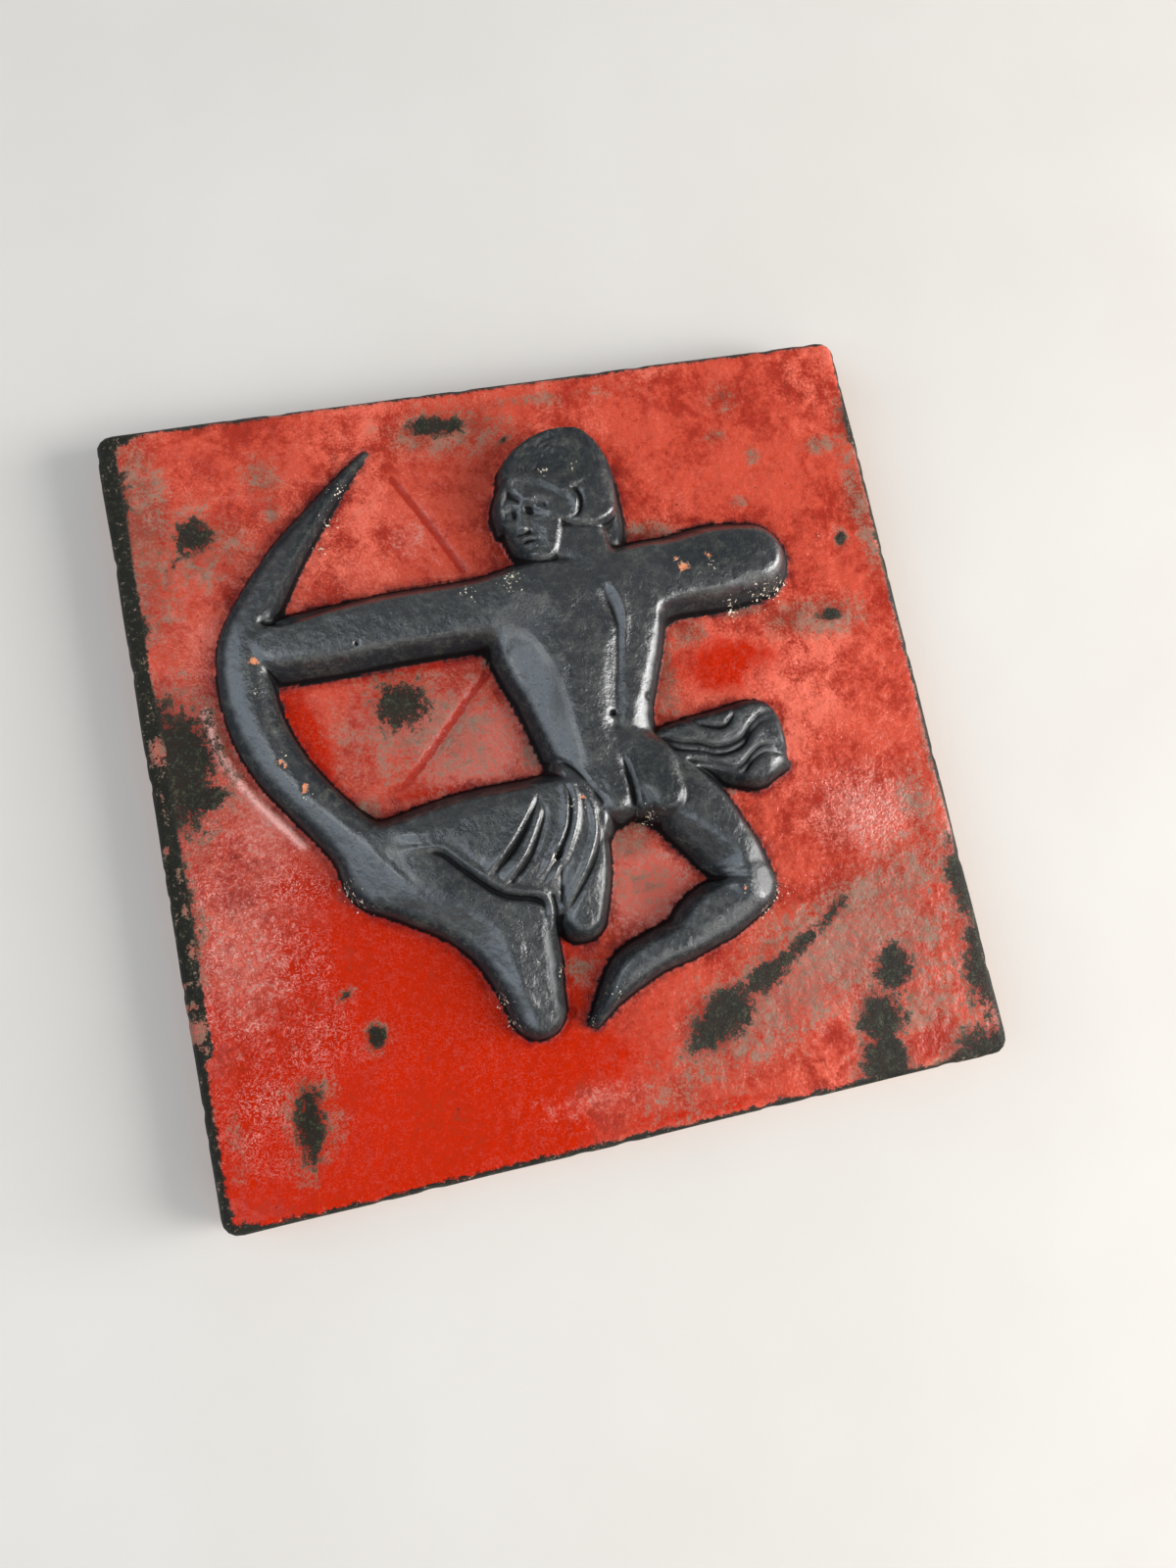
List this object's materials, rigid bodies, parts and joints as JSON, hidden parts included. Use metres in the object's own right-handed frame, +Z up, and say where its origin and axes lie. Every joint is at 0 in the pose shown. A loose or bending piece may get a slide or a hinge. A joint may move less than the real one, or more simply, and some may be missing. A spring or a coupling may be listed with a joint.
{
  "type": "ceramic relief tile",
  "caption": "Square pressed ceramic wall tile with an archer in black low relief on a red glazed ground, made to hang by its flat back.",
  "frame": {"origin": "middle of the flat back, where it lies on the wall", "axes": "+Z up the wall, towards the figure's head, +Y out of the back into the wall, +X to the right as a viewer in front of the relief sees it"},
  "size_m": [0.15, 0.021, 0.15],
  "materials": {
    "glazed_ceramic": "satin red glaze, worn to grey and black in patches, with a black satin glaze on the figure and the rims, and bare orange clay on the back"
  },
  "bodies": {
    "root": {"relief_tile": "glazed_ceramic"}
  },
  "joints": []
}
